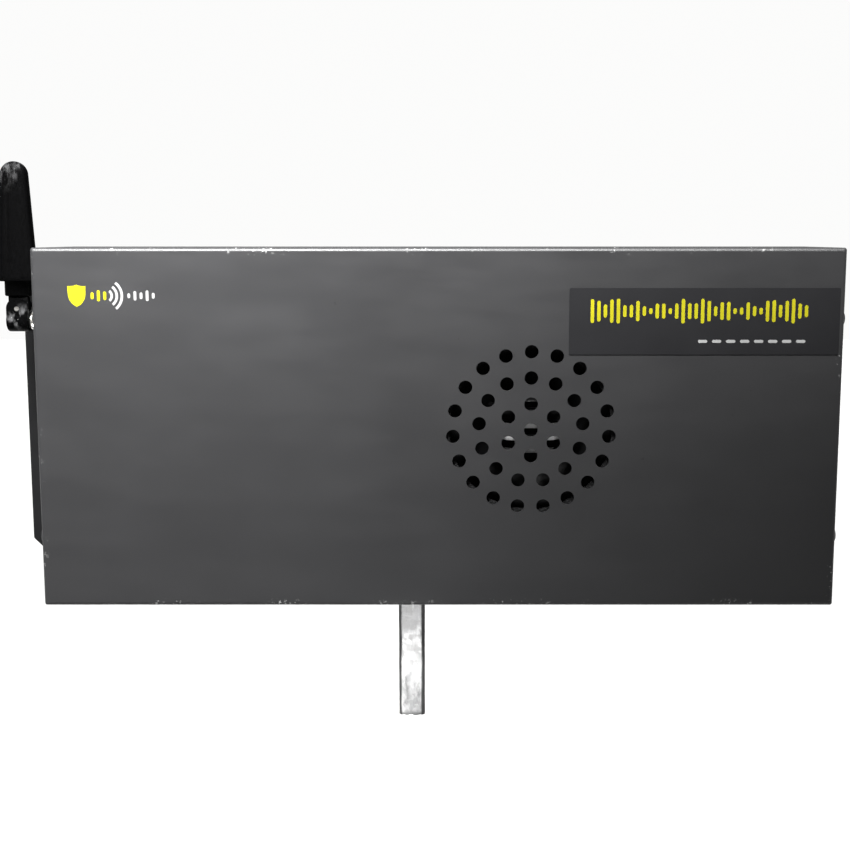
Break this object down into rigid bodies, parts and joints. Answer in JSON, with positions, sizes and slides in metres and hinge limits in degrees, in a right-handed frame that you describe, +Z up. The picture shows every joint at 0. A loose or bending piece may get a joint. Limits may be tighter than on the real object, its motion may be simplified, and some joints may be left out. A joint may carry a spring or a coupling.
{
  "type": "alarm siren",
  "caption": "Wall-mounted alarm siren for a rolling shutter: steel box with round punched grille, jointed antenna and sprung trigger bar below.",
  "frame": {"origin": "centre of the four wall-screw holes, on the rear face of the wall plate", "axes": "+X right and +Z up as seen from the front, +Y into the wall; the front faces -Y"},
  "size_m": [0.4485, 0.0784, 0.293],
  "materials": {
    "cover_paint": "satin dark-grey powder coat",
    "tray_paint": "satin dark-grey powder coat",
    "plate_paint": "satin black powder coat",
    "label_film": "matt printed film",
    "zinc_steel": "zinc-plated pressed steel",
    "screw_steel": "zinc-plated screws",
    "black_screw": "blackened steel",
    "galvanised": "hot-dip galvanised, spangled",
    "antenna_plastic": "fine matt black moulding",
    "nickel": "nickel plate",
    "gold": "gold-plated brass",
    "horn_grey": "moulded black horn",
    "plug_chrome": "polished",
    "housing_metal": "painted casting",
    "magnet": "ferrite",
    "diaphragm_metal": "thin pressed foil",
    "soft_rubber": "soft black rubber",
    "foam": "open foam",
    "board_laminate": "solder mask on laminate",
    "module_can": "tinned can",
    "card_socket": "pressed contacts cover",
    "terminal_green": "moulded terminal",
    "relay_blue": "moulded relay case",
    "can_sleeve": "sleeved aluminium can",
    "battery_case": "moulded battery case",
    "tab_metal": "tinned tab",
    "supply_case": "plain sheet",
    "terminal_black": "moulded strip",
    "nylon": "natural nylon",
    "switch_case": "moulded switch case",
    "button_red": "moulded button",
    "spring_steel": "bright spring wire",
    "coax_jacket": "black jacket",
    "lead_red": "red and black pair",
    "lead_grey": "grey jacket"
  },
  "bodies": {
    "root": {"antenna_coupling_nut": "nickel", "antenna_jack": "gold", "arm_screws": "screw_steel", "base_tray": "tray_paint", "battery": "battery_case", "battery_bracket": "zinc_steel", "battery_lead": "lead_red", "battery_terminals": "tab_metal", "board_screws": "screw_steel", "board_standoffs": "gold", "cable_grommet": "soft_rubber", "capacitors": "can_sleeve", "circuit_board": "board_laminate", "coax_pigtail": "coax_jacket", "diaphragm_surround": "soft_rubber", "driver_housing": "housing_metal", "driver_magnet": "magnet", "gsm_module": "module_can", "guide_bracket": "zinc_steel", "guide_bushes": "nylon", "horn_gasket": "foam", "horn_plug": "plug_chrome", "horn_screws": "screw_steel", "jack_nut": "nickel", "jack_washer": "nickel", "lever_pin": "spring_steel", "limit_switch": "switch_case", "mounting_plate": "plate_paint", "plate_screws": "screw_steel", "power_supply": "supply_case", "relays": "relay_blue", "return_spring": "spring_steel", "sim_socket": "card_socket", "siren_bracket": "zinc_steel", "siren_horn": "horn_grey", "siren_lead": "lead_grey", "spring_guide": "nylon", "supply_terminals": "terminal_black", "switch_lead": "lead_grey", "switch_screws": "screw_steel", "tamper_bracket": "zinc_steel", "tamper_switch": "switch_case", "terminal_block": "terminal_green", "tray_screws": "screw_steel"},
    "cover": {"front_cover": "cover_paint", "label_panel": "label_film", "cover_screws": "black_screw", "cover_nuts": "screw_steel"},
    "antenna_foot": {"antenna_knuckle": "antenna_plastic", "hinge_pin": "nickel"},
    "antenna": {"antenna_blade": "antenna_plastic"},
    "trigger": {"trigger_bar": "galvanised", "cam_block": "nylon", "stop_pin": "spring_steel"},
    "lever": {"switch_lever": "spring_steel"},
    "plunger": {"switch_plunger": "button_red"},
    "tamper_button": {"tamper_plunger": "button_red"},
    "siren_dome": {"diaphragm": "diaphragm_metal"}
  },
  "joints": [
    {"name": "cover_slide", "type": "slide", "parent": "root", "child": "cover", "axis": [0, -1, 0], "range_m": [0, 0.12]},
    {"name": "antenna_swivel", "type": "hinge", "parent": "root", "child": "antenna_foot", "pos_m": [-0.208, -0.04, 0.052], "axis": [1, 0, 0], "range_deg": [-20, 200]},
    {"name": "antenna_tilt", "type": "hinge", "parent": "antenna_foot", "child": "antenna", "pos_m": [-0.2175, -0.04, 0.0585], "axis": [0, -1, 0], "range_deg": [0, 90]},
    {"name": "bar_lift", "type": "slide", "parent": "root", "child": "trigger", "axis": [0, 0, 1], "range_m": [0, 0.018], "stiffness_N_per_m": 150, "springref_m": -0.01, "deforming": ["return_spring"]},
    {"name": "lever_swing", "type": "hinge", "parent": "root", "child": "lever", "pos_m": [-0.033, -0.04, -0.004], "axis": [0, -1, 0], "range_deg": [0, 8.1]},
    {"name": "plunger_press", "type": "slide", "parent": "root", "child": "plunger", "axis": [-1, 0, 0], "range_m": [0, 0.00115]},
    {"name": "tamper_press", "type": "slide", "parent": "root", "child": "tamper_button", "axis": [0, 1, 0], "range_m": [0, 0.0015], "stiffness_N_per_m": 300, "springref_m": -0.001},
    {"name": "diaphragm_travel", "type": "slide", "parent": "root", "child": "siren_dome", "axis": [0, -1, 0], "range_m": [-0.0004, 0.0004], "stiffness_N_per_m": 2000}
  ],
  "couplings": [
    {"joint": "lever_swing", "follows": "bar_lift", "rad_per_m": 7.7778},
    {"joint": "plunger_press", "follows": "bar_lift", "ratio": 0.062222}
  ]
}
